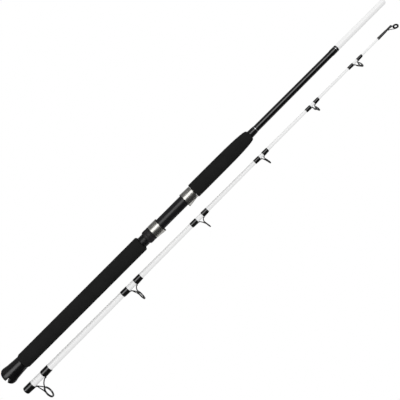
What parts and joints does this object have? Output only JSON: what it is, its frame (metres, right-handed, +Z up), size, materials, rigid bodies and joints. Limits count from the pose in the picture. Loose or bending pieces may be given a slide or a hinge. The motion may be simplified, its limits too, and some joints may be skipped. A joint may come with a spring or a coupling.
{
  "type": "spinning rod",
  "caption": "Two-piece fishing rod laid out as two sections: foam grips, tubular reel seat and slotted butt cap on one, line guides and a tip-top on the other.",
  "frame": {"origin": "middle of the bounding box's bottom face, on the ground the two sections lie on", "axes": "+X along both sections towards the tip, +Z up, guides and reel side towards -Y"},
  "size_m": [1.1286, 0.1176, 0.0384],
  "materials": {
    "gloss_black_cap": "moulded, glossy",
    "foam_grip": "fine closed-cell foam, matte",
    "satin_black_seat": "satin",
    "cork_arbor": "rough composite cork",
    "stainless_hood": "polished",
    "black_nylon": "moulded, matte",
    "silver_trim": "bright",
    "black_lacquer_blank": "black lacquer over white glass, glossy",
    "white_glass_blank": "glossy white glass fibre",
    "epoxy_winding": "black thread under clear epoxy",
    "black_guide_frame": "black plated wire, glossy",
    "ring_ceramic": "polished dark ceramic"
  },
  "bodies": {
    "butt_section": {"gimbal_cap": "gloss_black_cap", "rear_grip": "foam_grip", "seat_barrel": "satin_black_seat", "seat_arbor_rear": "cork_arbor", "seat_arbor_middle": "cork_arbor", "seat_arbor_front": "cork_arbor", "fixed_hood": "stainless_hood", "fixed_hood_liner": "black_nylon", "foregrip": "foam_grip", "winding_check": "satin_black_seat", "fore_trim_ring": "silver_trim", "butt_blank": "black_lacquer_blank", "ferrule_winding": "epoxy_winding", "ferrule_trim_ring": "silver_trim", "ferrule_end_winding": "epoxy_winding"},
    "movable_hood": {"movable_hood": "stainless_hood", "movable_hood_liner": "black_nylon", "slip_washer": "black_nylon"},
    "lock_nut": {"lock_nut": "satin_black_seat"},
    "tip_section": {"tip_blank": "white_glass_blank", "guide_1_frame": "black_guide_frame", "guide_1_ring": "ring_ceramic", "guide_1_rear_winding": "epoxy_winding", "guide_1_front_winding": "epoxy_winding", "guide_2_frame": "black_guide_frame", "guide_2_ring": "ring_ceramic", "guide_2_rear_winding": "epoxy_winding", "guide_2_front_winding": "epoxy_winding", "guide_3_frame": "black_guide_frame", "guide_3_ring": "ring_ceramic", "guide_3_rear_winding": "epoxy_winding", "guide_3_front_winding": "epoxy_winding", "guide_4_frame": "black_guide_frame", "guide_4_ring": "ring_ceramic", "guide_4_rear_winding": "epoxy_winding", "guide_4_front_winding": "epoxy_winding", "guide_5_frame": "black_guide_frame", "guide_5_ring": "ring_ceramic", "guide_5_rear_winding": "epoxy_winding", "guide_5_front_winding": "epoxy_winding", "guide_6_frame": "black_guide_frame", "guide_6_ring": "ring_ceramic", "guide_6_rear_winding": "epoxy_winding", "guide_6_front_winding": "epoxy_winding", "tip_top_frame": "black_guide_frame", "tip_top_ring": "ring_ceramic", "tip_top_winding": "epoxy_winding"}
  },
  "joints": [
    {"name": "hood_slide", "type": "slide", "parent": "butt_section", "child": "movable_hood", "axis": [1, 0, 0], "range_m": [-0.013, 0.022]},
    {"name": "lock_nut_spin", "type": "hinge", "parent": "movable_hood", "child": "lock_nut", "pos_m": [-0.1388, 0.0396, 0.0192], "axis": [1, 0, 0], "range_deg": [-2340, 3960]},
    {"name": "tip_carry", "type": "slide", "parent": "butt_section", "child": "tip_section", "axis": [0.9996, 0.0285, 0.0031], "range_m": [0, 1.7007]}
  ],
  "couplings": [
    {"joint": "hood_slide", "follows": "lock_nut_spin", "m_per_rad": 0.0003183}
  ]
}
